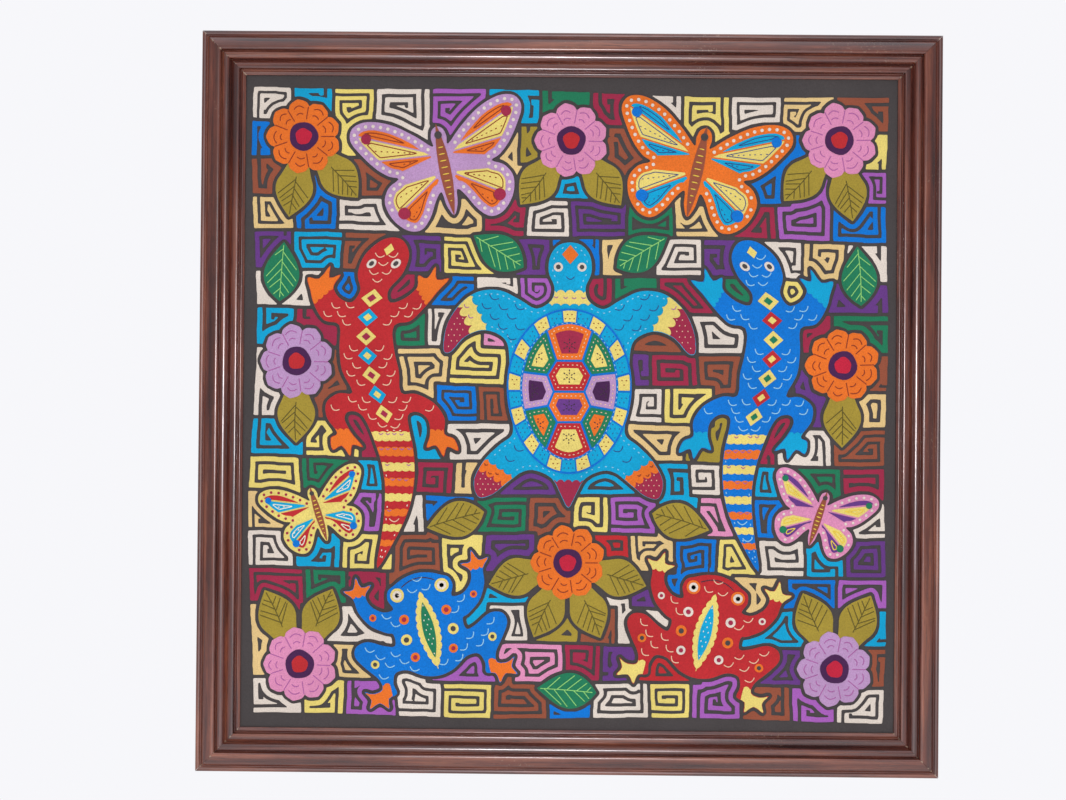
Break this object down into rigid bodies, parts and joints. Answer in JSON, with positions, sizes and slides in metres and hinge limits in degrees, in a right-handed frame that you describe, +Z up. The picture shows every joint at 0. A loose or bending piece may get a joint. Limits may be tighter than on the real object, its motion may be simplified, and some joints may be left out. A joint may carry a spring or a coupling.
{
  "type": "mola textile panel in a moulded wooden frame",
  "caption": "Square appliqued cotton mola panel, animals and flowers over a labyrinth ground, held flat in a dark stepped wooden picture frame.",
  "frame": {"origin": "on the wall plane, in the middle of the back of the top rail, where the frame hangs", "axes": "+Z up, +Y into the wall, so the cloth faces -Y and +X is to the viewer's right"},
  "size_m": [0.74, 0.03, 0.7401],
  "materials": {
    "stained_wood": "glossy brown varnish",
    "hardboard": "raw smooth board",
    "charcoal_cotton": "matte plain weave",
    "scarlet_cotton": "matte plain weave",
    "orange_cotton": "matte plain weave",
    "yellow_cotton": "matte plain weave",
    "olive_cotton": "matte plain weave",
    "emerald_cotton": "matte plain weave",
    "teal_cotton": "matte plain weave",
    "blue_cotton": "matte plain weave",
    "lilac_cotton": "matte plain weave",
    "pink_cotton": "matte plain weave",
    "plum_cotton": "matte plain weave",
    "cream_cotton": "matte plain weave",
    "crimson_cotton": "matte plain weave",
    "violet_cotton": "matte plain weave",
    "orchid_cotton": "matte plain weave",
    "brown_cotton": "matte plain weave"
  },
  "bodies": {
    "root": {"rail_top": "stained_wood", "rail_left": "stained_wood", "rail_bottom": "stained_wood", "rail_right": "stained_wood", "backing_board": "hardboard", "ground_cloth": "charcoal_cotton", "turtle": "teal_cotton", "turtle_shell": "blue_cotton", "gecko_left": "scarlet_cotton", "gecko_right": "blue_cotton", "butterfly_left": "lilac_cotton", "butterfly_right": "orange_cotton", "butterfly_low_left": "yellow_cotton", "butterfly_low_right": "pink_cotton", "frog_left": "blue_cotton", "frog_right": "scarlet_cotton", "rosette_top_left": "orange_cotton", "rosette_top_left_eye": "plum_cotton", "rosette_top_left_leaf_1": "olive_cotton", "rosette_top_left_leaf_2": "olive_cotton", "rosette_top": "pink_cotton", "rosette_top_eye": "plum_cotton", "rosette_top_leaf_1": "olive_cotton", "rosette_top_leaf_2": "olive_cotton", "rosette_top_right": "pink_cotton", "rosette_top_right_eye": "plum_cotton", "rosette_top_right_leaf_1": "olive_cotton", "rosette_top_right_leaf_2": "olive_cotton", "rosette_side_left": "lilac_cotton", "rosette_side_left_eye": "plum_cotton", "rosette_side_left_leaf_1": "olive_cotton", "rosette_side_right": "orange_cotton", "rosette_side_right_eye": "plum_cotton", "rosette_side_right_leaf_1": "olive_cotton", "rosette_low_left": "pink_cotton", "rosette_low_left_eye": "plum_cotton", "rosette_low_left_leaf_1": "olive_cotton", "rosette_low_left_leaf_2": "olive_cotton", "rosette_low": "orange_cotton", "rosette_low_eye": "plum_cotton", "rosette_low_leaf_1": "olive_cotton", "rosette_low_leaf_2": "olive_cotton", "rosette_low_leaf_3": "olive_cotton", "rosette_low_leaf_4": "olive_cotton", "rosette_low_right": "lilac_cotton", "rosette_low_right_eye": "plum_cotton", "rosette_low_right_leaf_1": "olive_cotton", "rosette_low_right_leaf_2": "olive_cotton", "leaf_lone_1": "emerald_cotton", "leaf_lone_2": "emerald_cotton", "leaf_lone_3": "olive_cotton", "leaf_lone_4": "olive_cotton", "leaf_lone_5": "emerald_cotton", "leaf_lone_6": "emerald_cotton", "leaf_lone_7": "emerald_cotton"}
  },
  "joints": []
}
